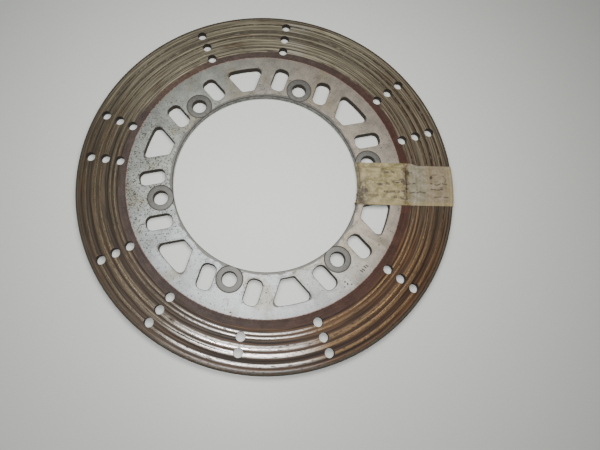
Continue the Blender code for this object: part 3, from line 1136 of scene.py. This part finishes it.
def tape_material():
    """Brittle yellowed film: blotched, dirty at its edges and along the label's crease."""
    graph = Graph("yellowed_tape_film")
    x, y, _ = graph.add("ShaderNodeSeparateXYZ", {0: graph.point}).outputs
    cloud = graph.noise(graph.vector(graph.math("MULTIPLY", x, 0.7), y, 0.0), 260.0, 5.0, 0.65)
    fleck = graph.noise(graph.point, 800.0, 3.0, 0.65)
    grain = graph.noise(graph.point, 2400.0, 2.0, 0.6)
    yellow = graph.mix(graph.step(cloud, 0.34, 0.64), (0.190, 0.160, 0.058), (0.430, 0.350, 0.185))
    grey = graph.mix(graph.step(cloud, 0.36, 0.66), (0.215, 0.190, 0.118), (0.335, 0.295, 0.220))
    pink = graph.mix(graph.step(cloud, 0.36, 0.66), (0.240, 0.190, 0.112), (0.345, 0.280, 0.195))
    drift = graph.math("ADD", x, graph.scaled(cloud, -0.006, 0.006))
    colour = graph.mix(graph.step(drift, 0.0945, 0.1050), yellow, grey)
    colour = graph.mix(graph.step(x, STRIP_END, STRIP_END + 0.0010), colour, pink)
    rim = graph.step(graph.math("ADD", x, graph.scaled(fleck, -0.0008, 0.0008)), 0.1287, 0.1293)
    colour = graph.mix(graph.math("MULTIPLY", rim, 0.55), colour, (0.31, 0.25, 0.13))
    foot = graph.step(graph.math("ADD", y, graph.scaled(cloud, -0.002, 0.002)), -0.0133, -0.0145)
    colour = graph.mix(graph.math("MULTIPLY", foot, 0.5), colour, (0.36, 0.29, 0.13))
    colour = graph.shade(colour, graph.scaled(fleck, 0.72, 1.28))
    colour = graph.shade(colour, graph.scaled(grain, 0.85, 1.15))

    sway = graph.scaled(graph.noise(graph.point, 190.0, 2.0), -0.0042, 0.0042)
    away = graph.math("ABSOLUTE", graph.math("ADD", graph.math("SUBTRACT", x, CREASE), sway))
    band = graph.math("MULTIPLY", graph.step(away, 0.0034, 0.0002), graph.step(fleck, 0.34, 0.54))
    colour = graph.mix(graph.math("MULTIPLY", band, 0.85), colour, (0.150, 0.094, 0.032))
    line = graph.math("MULTIPLY", graph.step(away, 0.0007, 0.0001), graph.step(fleck, 0.36, 0.50))
    mask = graph.math("MAXIMUM", graph.math("MULTIPLY", band, 0.14), graph.math("MULTIPLY", line, 0.85))
    paper_top = graph.math("ABSOLUTE", graph.math("SUBTRACT", y, PAPER_FAR.y + 0.0002))
    rule = graph.math("MULTIPLY", graph.step(paper_top, 0.0006, 0.0001), graph.step(cloud, 0.40, 0.56))
    rule = graph.math("MULTIPLY", rule, graph.step(x, 0.0990, 0.0960))
    mask = graph.math("MAXIMUM", mask, graph.math("MULTIPLY", rule, 0.4))
    inside = graph.math("MULTIPLY", graph.step(y, -0.0150, -0.0125), graph.step(y, 0.0145, 0.0120))
    mask = graph.math("MULTIPLY", mask, inside)
    for place in TAPE_STAINS:
        *oval, strength = place
        blot = graph.math("MULTIPLY", spot(graph, fleck, *oval), strength)
        mask = graph.math("MAXIMUM", mask, blot)
    near_bore = graph.math("MULTIPLY", graph.step(x, 0.0765, 0.0675), graph.step(y, 0.0080, -0.0040))
    near_bore = graph.math("MULTIPLY", near_bore, graph.step(fleck, 0.42, 0.54))
    mask = graph.math("MAXIMUM", mask, graph.math("MULTIPLY", near_bore, 0.95))
    at_fold = graph.math("MULTIPLY", graph.step(x, 0.0688, 0.0664), graph.step(fleck, 0.25, 0.50))
    mask = graph.math("MAXIMUM", mask, graph.math("MULTIPLY", at_fold, 0.6))
    radius = graph.add("ShaderNodeVectorMath", {0: graph.vector(x, y, 0.0)}, operation="LENGTH")
    from_fold = graph.math("ABSOLUTE", graph.math("SUBTRACT", radius.outputs["Value"], FOLD_DIRT))
    fold_line = graph.math("MULTIPLY", graph.step(from_fold, 0.0009, 0.0002), graph.step(cloud, 0.32, 0.46))
    mask = graph.math("MAXIMUM", mask, graph.math("MULTIPLY", fold_line, 0.8))
    colour = graph.mix(mask, colour, (0.038, 0.024, 0.010))
    graph.shader.inputs["Alpha"].default_value = 0.86
    return graph.finish(Look(colour, graph.scaled(fleck, 0.32, 0.55), 0.0), fleck, 0.00005)


def pen_material():
    graph = Graph("faded_ink")
    worn = graph.noise(graph.point, 1500.0, 3.0, 0.7)
    colour = graph.mix(graph.step(worn, 0.42, 0.66), (0.036, 0.028, 0.021), (0.13, 0.10, 0.065))
    return graph.finish(Look(colour, 0.6, 0.0), worn, 0.00001)


def scrap_material():
    graph = Graph("dirty_tape_scrap")
    speck = graph.noise(graph.point, 1500.0, 3.0, 0.7)
    colour = graph.mix(speck, (0.03, 0.02, 0.014), (0.15, 0.10, 0.06))
    return graph.finish(Look(colour, 0.6, 0.0), speck, 0.00005)


def label():
    """The paper, its two strips of tape, the writing and the scraps, each over its CAD node."""
    sheet, inner, outer = paper(), inner_strip(), outer_strip()
    film = tape_material()
    for piece, material in ((sheet, paper_material()), (inner, film), (outer, film)):
        piece.data.materials.append(material)
    for piece, slot in (
        (sheet, "aged_paper"),
        (inner, "yellowed_tape"),
        (outer, "yellowed_tape"),
        (pen_marks(), "aged_paper"),
        (torn_bits(), "yellowed_tape"),
    ):
        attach(piece, "root")
    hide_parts("paper_label")
    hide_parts("tape_inner_strip")
    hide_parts("tape_outer_strip")


# ---------------------------------------------------------------- stage


def floor():
    """A plain pale table."""
    bpy.ops.mesh.primitive_plane_add(size=4.0, location=(0.0, 0.0, -0.0002))
    table = bpy.context.object
    table.name = "table"
    material = bpy.data.materials.new("table")
    material.use_nodes = True
    shader = material.node_tree.nodes["Principled BSDF"]
    shader.inputs["Base Color"].default_value = (0.72, 0.73, 0.70, 1.0)
    shader.inputs["Roughness"].default_value = 0.4
    table.data.materials.append(material)


def area_light(name, location, size, power, colour):
    """A square light that faces straight down."""
    light = bpy.data.lights.new(name, "AREA")
    light.size = size
    light.energy = power
    light.color = colour
    obj = link(bpy.data.objects.new(name, light))
    obj.location = location
    obj.visible_camera = False


def lights():
    """Soft light from overhead and a small hard lamp that the polished rings catch."""
    world = bpy.data.worlds.new("studio")
    world.use_nodes = True
    background = world.node_tree.nodes["Background"]
    background.inputs["Color"].default_value = (0.97, 1.0, 0.98, 1.0)
    background.inputs["Strength"].default_value = 0.10
    bpy.context.scene.world = world
    area_light("near_camera", (-0.012, -0.114, 0.42), 0.03, 0.9, (1.0, 1.0, 1.0))
    area_light("overhead_left", (-0.06, 0.03, 0.26), 0.15, 0.41, (0.95, 1.0, 0.97))
    area_light("overhead_right", (0.06, 0.03, 0.26), 0.15, 0.42, (1.0, 0.965, 0.93))


def camera():
    """A view from above, tilted a little towards the disc."""
    data = bpy.data.cameras.new("camera")
    data.sensor_width = 36.0
    data.lens = 31.09
    data.shift_x = 0.0639
    data.shift_y = -0.0087
    data.clip_start = 0.01
    obj = link(bpy.data.objects.new("camera", data))
    obj.rotation_mode = "XYZ"
    turn = Matrix.Rotation(radians(15.28), 4, "X") @ Matrix.Rotation(radians(6.12), 4, "Z")
    obj.matrix_world = Matrix.Translation((0.0, -0.1243, 0.3521)) @ turn
    bpy.context.scene.camera = obj


def main():
    camera()
    lights()
    floor()
    disc = plate()
    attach(disc, "root")
    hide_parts("rotor_disc")
    label()


main()
